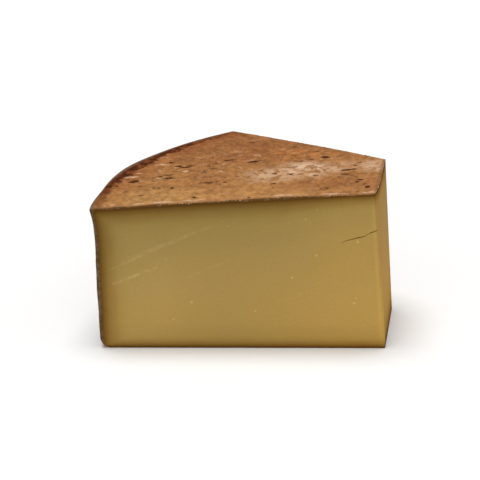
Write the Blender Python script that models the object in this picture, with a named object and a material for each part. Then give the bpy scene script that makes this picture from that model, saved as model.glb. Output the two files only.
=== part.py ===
"""Wedge of a large round alpine cheese, cut from the wheel and left without its tip.

The wheel's axis runs straight up. Both long cuts run along a radius of the wheel, the
first along X and the second WEDGE_ANGLE further round. A third, short cut takes off the
tip. Rind covers the domed top, the heel (the wheel's outer side) and the flat bottom.
Lengths are in metres, with +Z up.
"""

import math

import bmesh
import bpy
from mathutils import Vector, noise

MM = 0.001

# The wheel
WHEEL_RADIUS = 330.5 * MM
RIM_HEIGHT = 110.2 * MM
CENTRE_HEIGHT = 125.7 * MM
# Share of the dome's rise that is a straight slope, the rest being a parabola
DOME_CONE_SHARE = 0.37

# The heel leans in a little towards its foot, and flares to a sharp lip at the top
HEEL_FOOT_RADIUS = 322.5 * MM
HEEL_LEAN = 0.0365
LIP_FLARE_HEIGHT = 13.0 * MM
LIP_ROUNDING = 1.0 * MM
FOOT_ROUNDING = 6.5 * MM

# The piece that was cut from it
WEDGE_ANGLE = math.radians(47.45)
FRONT_TIP_RADIUS = 111.4 * MM
BACK_TIP_RADIUS = 148.7 * MM
# The tip cut leans, so that it runs further in at the bottom
FRONT_TIP_LEAN = 8.4 * MM
BACK_TIP_LEAN = 7.4 * MM

# Unevenness of the rind: size across and height of each kind of bump
BROAD_BUMP_SIZE = 62.0 * MM
BROAD_BUMP_HEIGHT = 0.75 * MM
SMALL_BUMP_SIZE = 15.0 * MM
SMALL_BUMP_HEIGHT = 0.40 * MM
# Bumps fade towards the lip, which stays a clean line
LIP_CALM = 9.0 * MM

# Crack in the front cut, from its inner tail to the corner of the tip cut: distance from
# the wheel's axis, height, width of its mouth and depth, all in millimetres
CRACK = (
    (141.0, 82.2, 0.10, 1.0),
    (136.0, 83.9, 0.75, 4.0),
    (130.2, 85.7, 0.95, 6.5),
    (124.5, 87.4, 1.05, 7.5),
    (120.2, 88.3, 0.90, 7.0),
    (117.4, 89.9, 0.80, 6.5),
    (113.0, 91.6, 0.90, 6.0),
    (104.0, 92.6, 1.00, 6.0),
)
# The crack's cutter starts this far in front of the cut face
CRACK_REACH = 3.0 * MM

# Dents and scars in the top: distance from the axis (mm), degrees from the first cut,
# length along the rim, width across it and depth (mm)
DENTS = {
    "scar near the corner": (309.0, 14.3, 13.0, 7.0, 1.3),
    "pit beside the scar": (293.0, 17.7, 8.0, 7.0, 0.9),
    "pair of pits": (281.5, 16.5, 11.0, 7.0, 1.0),
    "ring mark": (284.6, 10.3, 12.0, 12.0, 0.7),
    "branching scar": (284.0, 24.0, 19.0, 9.0, 1.2),
    "scar by the rim": (302.0, 26.2, 12.0, 8.0, 1.1),
    "middle scar": (237.0, 30.8, 12.0, 8.0, 1.2),
    "far scar": (261.0, 33.4, 10.0, 7.0, 0.8),
    "dry patch": (190.0, 27.5, 26.0, 22.0, 0.6),
    "pit behind the patch": (201.0, 39.9, 11.0, 9.0, 1.3),
    "scar beside the patch": (152.0, 35.0, 13.0, 8.0, 1.2),
    "pit near the tip": (123.5, 22.8, 10.0, 9.0, 1.3),
    "open ring mark": (154.4, 11.2, 14.0, 11.0, 0.9),
    "pit near the front cut": (251.0, 3.8, 6.0, 5.0, 0.8),
}

# How finely the piece is divided
STEPS_ROUND = 44
STEPS_ACROSS_TOP = 44
STEPS_DOWN_HEEL = 18
STEPS_DOWN_TIP = 9
STEPS_ON_CORNER = 5

# Colour (linear), roughness of each surface
PASTE_COLOUR = (0.56, 0.40, 0.12)
PASTE_ROUGHNESS = 0.45
RIND_COLOUR = (0.42, 0.20, 0.075)
RIND_ROUGHNESS = 0.8


def clear_scene():
    for item in list(bpy.data.objects):
        bpy.data.objects.remove(item, do_unlink=True)


def make_material(name, colour, roughness):
    material = bpy.data.materials.new(name)
    material.use_nodes = True
    shader = material.node_tree.nodes["Principled BSDF"]
    shader.inputs["Base Color"].default_value = (*colour, 1.0)
    shader.inputs["Roughness"].default_value = roughness
    shader.inputs["Metallic"].default_value = 0.0
    return material


def on_wheel(radius, angle, height):
    """Point of the wheel: the first cut runs from the axis towards -X."""
    return Vector((-radius * math.cos(angle), radius * math.sin(angle), height))


def dome_height(radius):
    share = radius / WHEEL_RADIUS
    fall = DOME_CONE_SHARE * share + (1.0 - DOME_CONE_SHARE) * share * share
    return CENTRE_HEIGHT - (CENTRE_HEIGHT - RIM_HEIGHT) * fall


def heel_radius(height):
    """The heel's distance from the axis: a straight lean plus the flare of the lip."""
    leaning = HEEL_FOOT_RADIUS + HEEL_LEAN * height
    flare = WHEEL_RADIUS - HEEL_FOOT_RADIUS - HEEL_LEAN * RIM_HEIGHT
    return leaning + flare * math.exp((height - RIM_HEIGHT) / LIP_FLARE_HEIGHT)


def tip_radius(angle, sunk):
    """The tip cut's distance from the axis, from its top (sunk 0) to the bottom (1)."""
    front = on_wheel(FRONT_TIP_RADIUS - FRONT_TIP_LEAN * sunk, 0.0, 0.0)
    back = on_wheel(BACK_TIP_RADIUS - BACK_TIP_LEAN * sunk, WEDGE_ANGLE, 0.0)
    # Where the ray from the axis crosses the line from front to back
    ray = on_wheel(1.0, angle, 0.0)
    along = back - front
    return (front.x * along.y - front.y * along.x) / (ray.x * along.y - ray.y * along.x)


def dent_depth(radius, angle):
    depth = 0.0
    for dent_radius, dent_degrees, length, width, deepest in DENTS.values():
        along = radius * (angle - math.radians(dent_degrees)) / (length * MM / 2)
        across = (radius - dent_radius * MM) / (width * MM / 2)
        away = along * along + across * across
        depth += deepest * MM * math.exp(-away)
    return depth


def bumps(place):
    broad = noise.noise(place / BROAD_BUMP_SIZE) * BROAD_BUMP_HEIGHT
    small = noise.noise(place / SMALL_BUMP_SIZE + Vector((7.0, 3.0, 1.0))) * SMALL_BUMP_HEIGHT
    return broad + small


def top_point(radius, angle):
    place = on_wheel(radius, angle, dome_height(radius))
    calm = min(1.0, (WHEEL_RADIUS - radius) / LIP_CALM)
    place.z += calm * (bumps(place) - dent_depth(radius, angle))
    return place


def heel_point(height, angle):
    radius = heel_radius(height)
    calm = min(1.0, (RIM_HEIGHT - height) / LIP_CALM)
    radius += calm * bumps(on_wheel(radius, angle, height))
    return on_wheel(radius, angle, height)


def ring_at(angle):
    """The wheel's cross-section at one angle, from the tip over the top, heel and bottom.

    It returns each point with the name of the surface that runs on to the next one.
    """
    ring = []
    inner = tip_radius(angle, 0.0)
    outer = WHEEL_RADIUS - LIP_ROUNDING
    for step in range(STEPS_ACROSS_TOP + 1):
        radius = inner + (outer - inner) * step / STEPS_ACROSS_TOP
        ring.append((top_point(radius, angle), "rind"))

    heel_top = RIM_HEIGHT - LIP_ROUNDING
    heel_bottom = FOOT_ROUNDING
    for step in range(STEPS_DOWN_HEEL + 1):
        height = heel_top + (heel_bottom - heel_top) * step / STEPS_DOWN_HEEL
        ring.append((heel_point(height, angle), "rind"))

    foot = heel_point(FOOT_ROUNDING, angle)
    foot_radius = math.hypot(foot.x, foot.y) - FOOT_ROUNDING
    for step in range(1, STEPS_ON_CORNER + 1):
        turn = math.radians(90.0) * step / STEPS_ON_CORNER
        radius = foot_radius + FOOT_ROUNDING * math.cos(turn)
        height = FOOT_ROUNDING * (1.0 - math.sin(turn))
        ring.append((on_wheel(radius, angle, height), "rind"))

    tip_top = ring[0][0].z
    for step in range(STEPS_DOWN_TIP):
        sunk = 1.0 - step / STEPS_DOWN_TIP
        radius = tip_radius(angle, sunk)
        ring.append((on_wheel(radius, angle, tip_top * (1.0 - sunk)), "paste"))
    return ring


def make_wedge():
    """Loft the cross-sections round the wheel, and close the two long cuts."""
    mesh = bmesh.new()
    rings = []
    surfaces = []
    for step in range(STEPS_ROUND + 1):
        ring = ring_at(WEDGE_ANGLE * step / STEPS_ROUND)
        surfaces = [surface for _, surface in ring]
        rings.append([mesh.verts.new(place) for place, _ in ring])

    count = len(surfaces)
    for first, second in zip(rings, rings[1:]):
        for index in range(count):
            after = (index + 1) % count
            face = mesh.faces.new((first[index], second[index], second[after], first[after]))
            face.material_index = 0 if surfaces[index] == "paste" else 1
            face.smooth = True
    for ring in (rings[0], rings[-1]):
        cut = mesh.faces.new(ring)
        cut.material_index = 0
    bmesh.ops.recalc_face_normals(mesh, faces=mesh.faces)

    data = bpy.data.meshes.new("cheese_wedge")
    mesh.to_mesh(data)
    mesh.free()
    data.set_sharp_from_angle(angle=math.radians(35.0))
    wedge = bpy.data.objects.new("cheese_wedge", data)
    bpy.context.collection.objects.link(wedge)
    data.materials.append(make_material("cheese paste", PASTE_COLOUR, PASTE_ROUGHNESS))
    data.materials.append(make_material("cheese rind", RIND_COLOUR, RIND_ROUGHNESS))
    return wedge


def make_crack_cutter():
    """A blade with a pointed root that follows the crack along the front cut."""
    mesh = bmesh.new()
    sections = []
    for radius, height, width, depth in CRACK:
        # The sides of the blade run on past the cut face, where they stand further apart
        spread = width * MM / 2 * (1.0 + CRACK_REACH / (depth * MM))
        mouth = on_wheel(radius * MM, 0.0, height * MM)
        mouth.y -= CRACK_REACH
        sections.append((
            mesh.verts.new(mouth + Vector((0.0, 0.0, spread))),
            mesh.verts.new(mouth - Vector((0.0, 0.0, spread))),
            mesh.verts.new(mouth + Vector((0.0, CRACK_REACH + depth * MM, 0.0))),
        ))
    for first, second in zip(sections, sections[1:]):
        for index in range(3):
            after = (index + 1) % 3
            mesh.faces.new((first[index], second[index], second[after], first[after]))
    mesh.faces.new(sections[0])
    mesh.faces.new(sections[-1])
    bmesh.ops.recalc_face_normals(mesh, faces=mesh.faces)

    data = bpy.data.meshes.new("crack cutter")
    mesh.to_mesh(data)
    mesh.free()
    cutter = bpy.data.objects.new("crack_cutter", data)
    bpy.context.collection.objects.link(cutter)
    cutter.hide_render = True
    cutter.display_type = "WIRE"
    return cutter


def centre_on_floor(wedge, cutter):
    """Put the origin under the middle of the piece's bounding box, at the floor."""
    xs = [vertex.co.x for vertex in wedge.data.vertices]
    ys = [vertex.co.y for vertex in wedge.data.vertices]
    middle = Vector(((min(xs) + max(xs)) / 2, (min(ys) + max(ys)) / 2, 0.0))
    for item in (wedge, cutter):
        for vertex in item.data.vertices:
            vertex.co -= middle


def main():
    clear_scene()
    wedge = make_wedge()
    cutter = make_crack_cutter()
    centre_on_floor(wedge, cutter)
    crack = wedge.modifiers.new("crack", "BOOLEAN")
    crack.operation = "DIFFERENCE"
    crack.solver = "EXACT"
    crack.object = cutter


main()
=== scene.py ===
"""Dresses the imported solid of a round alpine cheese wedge, and sets it on a pale stage.

Lengths are in metres, with +Z up. The wheel that the wedge was cut from has its axis
straight up, and the first long cut runs from that axis towards -X.
"""

import math
import random

import bmesh
import bpy
import numpy as np
from bpy.props import FloatProperty, FloatVectorProperty, IntProperty, PointerProperty
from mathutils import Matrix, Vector, noise


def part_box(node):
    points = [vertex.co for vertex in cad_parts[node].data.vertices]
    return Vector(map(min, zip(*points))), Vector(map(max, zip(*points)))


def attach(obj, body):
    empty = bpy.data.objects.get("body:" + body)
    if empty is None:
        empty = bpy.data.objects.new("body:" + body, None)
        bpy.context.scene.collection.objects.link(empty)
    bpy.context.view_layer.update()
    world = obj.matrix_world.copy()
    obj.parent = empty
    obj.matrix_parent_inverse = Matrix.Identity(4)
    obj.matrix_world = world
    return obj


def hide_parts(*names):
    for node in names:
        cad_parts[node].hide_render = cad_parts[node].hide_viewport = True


bl_info = {
    "name": "Cheese Wedge",
    "version": (1, 0, 0),
    "blender": (4, 5, 0),
    "location": "3D View > Sidebar > Cheese",
    "description": "Makes a cut wedge of round alpine cheese with its rind and a stage",
    "category": "Object",
}

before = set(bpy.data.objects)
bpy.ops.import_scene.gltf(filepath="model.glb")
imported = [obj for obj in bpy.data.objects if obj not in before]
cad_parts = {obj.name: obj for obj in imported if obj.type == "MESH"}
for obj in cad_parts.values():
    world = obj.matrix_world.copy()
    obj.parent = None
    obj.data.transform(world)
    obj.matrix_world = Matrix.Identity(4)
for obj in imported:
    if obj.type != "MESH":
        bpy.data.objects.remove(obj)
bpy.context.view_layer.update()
NODE = "cheese_wedge"
BODY = "root"
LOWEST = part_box(NODE)[0]
MM = 0.001

# Crack in the front cut, from its inner tail to the corner of the tip cut: distance from
# the wheel's axis, height, width of its mouth and depth, all in millimetres
CRACK = (
    (139.0, 83.9, 0.10, 1.0),
    (135.2, 85.3, 0.45, 3.0),
    (130.2, 87.0, 0.65, 4.0),
    (124.5, 88.4, 0.85, 4.5),
    (120.2, 89.3, 0.45, 3.5),
    (118.4, 90.6, 0.30, 2.5),
    (116.0, 92.0, 0.70, 4.0),
    (112.0, 93.4, 0.75, 4.0),
    (103.0, 94.0, 0.80, 4.0),
)

# Dark scars and pits in the top rind: distance from the axis (mm), degrees from the first
# cut, size along and away from the first cut (mm), depth (mm) and turn (degrees)
SCARS = {
    "scar near the corner": (309, 14.3, 7.6, 5.0, 1.2, 20),
    "pit beside the scar": (292, 17.4, 2.8, 2.6, 0.8, 0),
    "long one of the pair": (283, 16.4, 6.9, 3.6, 0.9, -20),
    "dot": (273, 10.1, 2.8, 3.9, 0.7, 0),
    "dot by the front cut": (251, 3.5, 2.4, 3.6, 0.9, 0),
    "faint mark": (293, 5.9, 4.4, 2.5, 0.3, 0),
    "check mark, short arm": (290, 24.0, 4.6, 4.2, 0.9, -35),
    "check mark, long arm": (282, 23.9, 11.5, 3.6, 1.1, 26),
    "dash by the rim": (302, 26.3, 4.4, 3.9, 0.9, 15),
    "small russet mark": (292, 29.5, 2.7, 2.5, 0.4, 0),
    "mark past the check": (260, 29.9, 6.9, 3.6, 0.6, 20),
    "thin mark": (259, 23.1, 6.1, 2.4, 0.5, 10),
    "thin mark to its left": (261, 21.3, 3.1, 2.4, 0.4, 0),
    "soft mark": (247, 13.4, 6.1, 3.9, 0.4, 0),
    "dot beside the soft mark": (234, 13.7, 2.8, 2.5, 0.7, 0),
    "short dash": (242, 14.6, 3.1, 2.2, 0.5, 0),
    "first rim scar": (321.5, 24.7, 4.8, 5.4, 1.0, 20),
    "second rim scar": (322.5, 21.5, 6.5, 5.0, 0.9, 30),
    "third rim scar": (320, 11.8, 2.6, 3.9, 0.6, 0),
    "fourth rim scar": (319, 27.3, 3.8, 3.9, 0.8, 0),
    "fifth rim scar": (320, 34.0, 8.0, 2.8, 0.5, 12),
    "sixth rim scar": (324, 30.5, 3.4, 3.9, 0.8, 0),
    "middle scar": (238, 30.5, 9.0, 4.6, 1.1, 28),
    "far small pit": (220, 33.6, 3.1, 2.4, 0.8, 0),
    "next far small pit": (203, 34.4, 2.6, 2.4, 0.8, 0),
    "brown dash": (200, 36.7, 3.8, 2.4, 0.6, 0),
    "pit behind the bloom": (194, 39.9, 5.6, 5.3, 1.2, 0),
    "red-brown pit": (213, 43.6, 3.3, 2.6, 0.6, 0),
    "pit by the far corner": (282, 42.8, 3.9, 2.7, 0.6, 0),
    "mark by the back cut": (241, 44.3, 3.3, 2.5, 0.5, 0),
    "pit in the bloom": (191, 22.7, 3.7, 3.9, 1.0, 0),
    "small pit left of the bloom": (203, 22.0, 2.6, 2.6, 0.6, 0),
    "thin dash": (195, 13.5, 3.8, 2.4, 0.8, 0),
    "bar beside the bloom": (153, 31.5, 11.0, 3.8, 1.1, 20),
    "pit over the bar": (159, 40.1, 3.3, 2.6, 0.9, 0),
    "small pit over the bar": (157, 36.9, 2.5, 2.3, 0.6, 0),
    "thin line under the bar": (149, 25.9, 7.0, 2.3, 0.5, 0),
    "pit near the tip": (131, 20.3, 4.0, 2.8, 1.1, 0),
    "small pit near the tip": (131, 17.5, 2.5, 2.3, 0.7, 0),
    "deep pit near the tip": (120, 10.7, 3.4, 5.0, 1.2, 0),
    "pit beside the deep one": (124, 14.7, 2.5, 2.3, 0.7, 0),
    "pit by the corner": (126, 5.1, 2.5, 2.3, 0.7, 0),
    "pit on the edge": (209, 1.6, 2.5, 2.4, 0.9, 0),
    "brown spot in the bloom": (171, 28.6, 3.1, 2.4, 0.5, 0),
    "brown spot below the bloom": (170, 22.2, 3.1, 2.4, 0.5, 0),
    "small spot in the bloom": (182, 30.9, 2.5, 2.3, 0.4, 0),
}
# Rings left by bubbles: distance from the axis, degrees, both sizes and depth
RINGS = {
    "ring mark": (285, 10.3, 5.6, 7.0, 0.7),
    "open ring mark": (153, 8.7, 6.0, 6.0, 0.9),
}
# Pale scuffs, some of them the lit lips just below dark marks, painted as highlights: distance from the
# axis, degrees and both sizes
SCUFFS_AND_LIT_LIPS = {
    "scuff on the rim": (315, 16.9, 10.8, 4.2),
    "upper scuff on the rim": (313, 19.0, 5.8, 2.8),
    "wide scuff": (307, 24.5, 9.4, 3.6),
    "lit lip below the pit": (292, 16.3, 3.8, 2.2),
    "scuff left of the check mark": (290, 22.9, 2.4, 2.4),
    "scuff below the check mark": (277, 21.0, 4.2, 5.0),
    "small scuff": (249, 21.7, 3.0, 2.2),
    "orange scuff": (317, 28.9, 5.4, 2.2),
}
# Lines that the knife left in the front cut: distance from the axis and height where
# each starts and ends, how far its middle bows up (mm), and how plain it is
KNIFE_LINES = (
    (314.5, 62.7, 224.3, 102.7, 0.4, 0.50),
    (306.0, 68.6, 252.0, 92.0, 0.2, 0.35),
    (313.5, 50.7, 278.0, 64.6, 0.0, 0.70),
    (256.0, 56.0, 222.0, 71.0, 0.0, 0.2),
)
# Mould on the far corner of the tip cut: height, half its height, distance from the corner,
# half its width (mm) and strength
STAINS = (
    (33.5, 2.5, 2.5, 4.5, 0.7),
    (19.5, 2.8, 1.5, 4.8, 0.8),
    (1.0, 12.0, 0.0, 13.0, 0.6),
)
# The bloom's ovals: middle (mm from the axis), half sizes (mm) and strength
BLOOM = (
    (-164.0, 86.0, 24.0, 30.0, 1.0),
    (-188.0, 75.0, 28.0, 22.0, 0.65),
    (-146.0, 84.0, 15.0, 16.0, 0.6),
    (-110.0, 90.0, 14.0, 22.0, 0.68),
    (-133.0, 95.0, 22.0, 18.0, 0.28),
    (-192.0, 58.0, 22.0, 12.0, 0.4),
)
# The tip cut's height, and how far it slants towards the heel for each metre from the front
TIP_HEIGHT = 0.12
TIP_SLANT = 0.098
# Crumbs keep clear of the lip, nearer the axis than this
CRUMB_LIMIT = 320.0 * MM
# What the camera looks at, from the axis: the middle of the front cut
LOOKED_AT = Vector((-215.35 * MM, -1.5 * MM, 86.6 * MM))
# How deep the paste is browned under its rind
BROWNING_REACH = 45.0 * MM

# Rows of faces in the wedge's surface
ROWS_ACROSS_TOP = (20, 14)
ROWS_UP_HEEL = 72
ROWS_ROUND = 285
FOOT_ROWS = 7
LIP_ROWS = 3
CORNER_CUTS = 3
START_RADIUS = 95.0 * MM
TIP_ROWS = [8.0 * step for step in range(1, 16)]
TIP_COLUMNS = (3.0, 6.0, 10.0, 15.0, 22.0, 32.0, 45.0, 60.0, 80.0, 95.0)
# How near the dome's or the heel's smooth form a point of it lies
ON_DOME = 0.03 * MM
ON_HEEL = 0.05 * MM
# Within this distance of the heel, the top and the floor, a face that looks that way is rind
HEEL_REACH = 8.0 * MM
TOP_REACH = 4.0 * MM
BOTTOM_REACH = 7.0 * MM
# The relief fades out towards the lip
LIP_CALM = 9.0 * MM
# The front corner's wear grows between these heights, and fades along both cuts
WEAR_HEIGHTS = (25.0 * MM, 112.0 * MM)
WEAR_ALONG_TIP = 13.0 * MM
WEAR_ALONG_FRONT = 6.0 * MM
# Where the rim is flattened and where it is fuller: middle and spread, in degrees
FLAT_AT = (9.3, 6.0)
FULL_AT = (23.5, 5.0)
# The crack's steps (mm), how much each strays up or down (mm), and its changes of width
CRACK_STEP = 1.3
CRACK_STRAY = 0.22
CRACK_WIDTHS = (0.75, 1.2)
# The crack's blade starts this far in front of the cut face
CRACK_REACH = 3.0 * MM


class WedgeSizes(bpy.types.PropertyGroup):
    """Sizes of the wheel and of the piece cut from it"""

    wheel_radius: FloatProperty(
        name="Wheel Radius", description="From the axis to the lip", default=0.3305, unit="LENGTH"
    )
    rim_height: FloatProperty(
        name="Rim Height", description="Height of the lip", default=0.1102, unit="LENGTH"
    )
    centre_height: FloatProperty(
        name="Centre Height", description="Height on the axis", default=0.1257, unit="LENGTH"
    )
    cone_share: FloatProperty(
        name="Cone Share", description="Straight share of the dome's rise", default=0.37
    )
    foot_radius: FloatProperty(
        name="Foot Radius", description="Heel's radius at the foot", default=0.3225, unit="LENGTH"
    )
    heel_lean: FloatProperty(
        name="Heel Lean", description="How far the heel leans out for each metre up", default=0.0365
    )
    heel_bulge: FloatProperty(
        name="Heel Bulge", description="How far the heel bulges halfway up", default=0.0007, unit="LENGTH"
    )
    flare_height: FloatProperty(
        name="Flare Height", description="Height in which the lip flares", default=0.013, unit="LENGTH"
    )
    lip_rounding: FloatProperty(
        name="Lip Rounding", description="Radius of the lip", default=0.001, unit="LENGTH"
    )
    foot_rounding: FloatProperty(
        name="Foot Rounding", description="Radius of the foot", default=0.0078, unit="LENGTH"
    )
    angle: FloatProperty(
        name="Angle", description="Between the two long cuts", default=math.radians(47.45), subtype="ANGLE"
    )
    front_tip: FloatProperty(
        name="Front Tip Radius", description="Where the tip cut starts", default=0.1114, unit="LENGTH"
    )
    back_tip: FloatProperty(
        name="Back Tip Radius", description="Where the tip cut ends", default=0.1487, unit="LENGTH"
    )
    front_lean: FloatProperty(
        name="Front Lean", description="Lean of the tip cut at its start", default=0.0084, unit="LENGTH"
    )
    back_lean: FloatProperty(
        name="Back Lean", description="Lean of the tip cut at its end", default=0.0074, unit="LENGTH"
    )
    flat_dent: FloatProperty(
        name="Flattening", description="Of the rim beside the front cut", default=0.0025, unit="LENGTH"
    )
    full_bulge: FloatProperty(
        name="Fullness", description="Of the rim past the flattening", default=0.0012, unit="LENGTH"
    )
    corner_wear: FloatProperty(
        name="Corner Wear", description="Rubbed off the front corner's top", default=0.0026, unit="LENGTH"
    )
    corner_rounding: FloatProperty(
        name="Corner Rounding", description="Worn edge where two cuts meet", default=0.0013, unit="LENGTH"
    )


class RindLook(bpy.types.PropertyGroup):
    """Relief and colours of the rind"""

    broad_size: FloatProperty(
        name="Broad Bump Size", description="Across the broad bumps", default=0.062, unit="LENGTH"
    )
    broad_height: FloatProperty(
        name="Broad Bump Height", description="Of the broad bumps", default=0.00075, unit="LENGTH"
    )
    small_size: FloatProperty(
        name="Small Bump Size", description="Across the small bumps", default=0.015, unit="LENGTH"
    )
    small_height: FloatProperty(
        name="Small Bump Height", description="Of the small bumps", default=0.0004, unit="LENGTH"
    )
    crust_size: FloatProperty(
        name="Crust Size", description="Across the crust's wrinkles", default=0.0052, unit="LENGTH"
    )
    crust_height: FloatProperty(
        name="Crust Height", description="Of the crust's wrinkles", default=0.00012, unit="LENGTH"
    )
    pit_size: FloatProperty(
        name="Pit Size", description="Across the scattered pits", default=0.0058, unit="LENGTH"
    )
    pit_depth: FloatProperty(
        name="Pit Depth", description="Of the scattered pits", default=0.0006, unit="LENGTH"
    )
    rag_width: FloatProperty(
        name="Torn Edge", description="Width of the torn edge by a cut", default=0.0022, unit="LENGTH"
    )
    rag_height: FloatProperty(
        name="Torn Height", description="How far the torn edge curls", default=0.0005, unit="LENGTH"
    )
    crumbs: IntProperty(
        name="Crumbs", description="How many cling to the front cut's edge", default=48
    )
    tan: FloatVectorProperty(
        name="Tan", description="Main colour", default=(0.375, 0.172, 0.057), subtype="COLOR"
    )
    russet: FloatVectorProperty(
        name="Russet", description="Redder patches", default=(0.28, 0.105, 0.035), subtype="COLOR"
    )
    dark: FloatVectorProperty(
        name="Dark", description="Flecks and the rim", default=(0.15, 0.05, 0.017), subtype="COLOR"
    )
    pit: FloatVectorProperty(
        name="Pit", description="Inside the scars", default=(0.06, 0.017, 0.005), subtype="COLOR"
    )
    pale: FloatVectorProperty(
        name="Pale", description="Bloom and scuffs", default=(0.70, 0.475, 0.31), subtype="COLOR"
    )
    gold: FloatVectorProperty(
        name="Gold", description="Lighter patch near the rim", default=(0.44, 0.235, 0.078), subtype="COLOR"
    )
    orange: FloatVectorProperty(
        name="Orange", description="Streaks at the back", default=(0.47, 0.165, 0.038), subtype="COLOR"
    )
    heel: FloatVectorProperty(
        name="Heel", description="Brown of the heel", default=(0.15, 0.085, 0.04), subtype="COLOR"
    )


class PasteLook(bpy.types.PropertyGroup):
    """Colours of the cut paste"""

    deep: FloatVectorProperty(
        name="Paste", description="Well inside the wheel", default=(0.382, 0.268, 0.090), subtype="COLOR"
    )
    speck_spacing: FloatProperty(
        name="Speck Spacing", description="Between the pale specks", default=0.0098, unit="LENGTH"
    )


class StageSetup(bpy.types.PropertyGroup):
    """Camera, floor and light"""

    distance: FloatProperty(
        name="Distance", description="Camera to the wedge", default=2.64, unit="LENGTH"
    )
    elevation: FloatProperty(
        name="Elevation", description="How far it looks down", default=math.radians(16.0), subtype="ANGLE"
    )
    azimuth: FloatProperty(
        name="Azimuth", description="Turn off the front cut", default=math.radians(0.39), subtype="ANGLE"
    )
    lens: FloatProperty(
        name="Lens", description="Focal length in millimetres", default=259.9
    )
    floor_radius: FloatProperty(
        name="Floor Radius", description="Of the round floor", default=6.0, unit="LENGTH"
    )


# Small helpers


def deselect_all():
    if bpy.context.object and bpy.context.object.mode != "OBJECT":
        bpy.ops.object.mode_set(mode="OBJECT")
    bpy.ops.object.select_all(action="DESELECT")


def pick(piece):
    """Make one piece the only selected and the active one."""
    deselect_all()
    piece.select_set(True)
    bpy.context.view_layer.objects.active = piece


def points_of(piece):
    count = len(piece.data.vertices)
    flat = np.empty(count * 3, np.float32)
    piece.data.vertices.foreach_get("co", flat)
    return flat.reshape(count, 3).astype(float)


def set_points(piece, points):
    piece.data.vertices.foreach_set("co", points.astype(np.float32).ravel())
    piece.data.update()


def add_attribute(piece, name, values):
    attribute = piece.data.attributes.new(name, "FLOAT", "POINT")
    attribute.data.foreach_set("value", values.astype(np.float32))


def smooth_step(low, high, value):
    share = np.clip((value - low) / (high - low), 0.0, 1.0)
    return share * share * (3.0 - 2.0 * share)


def noise_of(points, size, shift):
    """Blender's own noise, -1 to 1, at each of many points."""
    offset = Vector(shift)
    flat = points.reshape(-1, 3) / size
    values = [noise.noise(Vector(place) + offset) for place in flat]
    return np.array(values).reshape(points.shape[:-1])


def crust_noise(points, size, shift, octaves):
    offset = Vector(shift)
    flat = points.reshape(-1, 3) / size
    values = [noise.fractal(Vector(place) + offset, 0.9, 2.1, octaves) for place in flat]
    return np.array(values).reshape(points.shape[:-1])


# Form of the wheel and of the wedge


def axis_place():
    """The wheel's axis on the floor: one wheel radius from the wedge's left end."""
    sizes = bpy.context.scene.cheese_sizes
    return Vector((LOWEST.x + sizes.wheel_radius, LOWEST.y, 0.0))


def dome_height(radius, sizes):
    share = radius / sizes.wheel_radius
    fall = sizes.cone_share * share + (1.0 - sizes.cone_share) * share * share
    return sizes.centre_height - (sizes.centre_height - sizes.rim_height) * fall


def heel_radius(height, sizes):
    leaning = sizes.foot_radius + sizes.heel_lean * height
    flare = sizes.wheel_radius - sizes.foot_radius - sizes.heel_lean * sizes.rim_height
    bulge = sizes.heel_bulge * np.sin(np.pi * np.clip(height / sizes.rim_height, 0.0, 1.0))
    return leaning + bulge + flare * np.exp((height - sizes.rim_height) / sizes.flare_height)


def tip_radius(angle, sunk, sizes):
    """The tip cut's distance from the axis, from its top (sunk 0) to the bottom (1)."""
    front = sizes.front_tip - sizes.front_lean * sunk
    back = sizes.back_tip - sizes.back_lean * sunk
    along_x = front - back * math.cos(sizes.angle)
    along_y = back * math.sin(sizes.angle)
    return front * along_y / (np.cos(angle) * along_y + np.sin(angle) * along_x)


# The rind's relief


def local_place(radius, angle, mark_radius, mark_degrees, turned=0.0):
    """Millimetres from a mark's middle, along the first cut and away from it, both turned."""
    mark_angle = math.radians(mark_degrees)
    along = mark_radius * math.cos(mark_angle) - radius * np.cos(angle) / MM
    away = radius * np.sin(angle) / MM - mark_radius * math.sin(mark_angle)
    cosine = math.cos(math.radians(turned))
    sine = math.sin(math.radians(turned))
    return along * cosine + away * sine, away * cosine - along * sine


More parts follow.
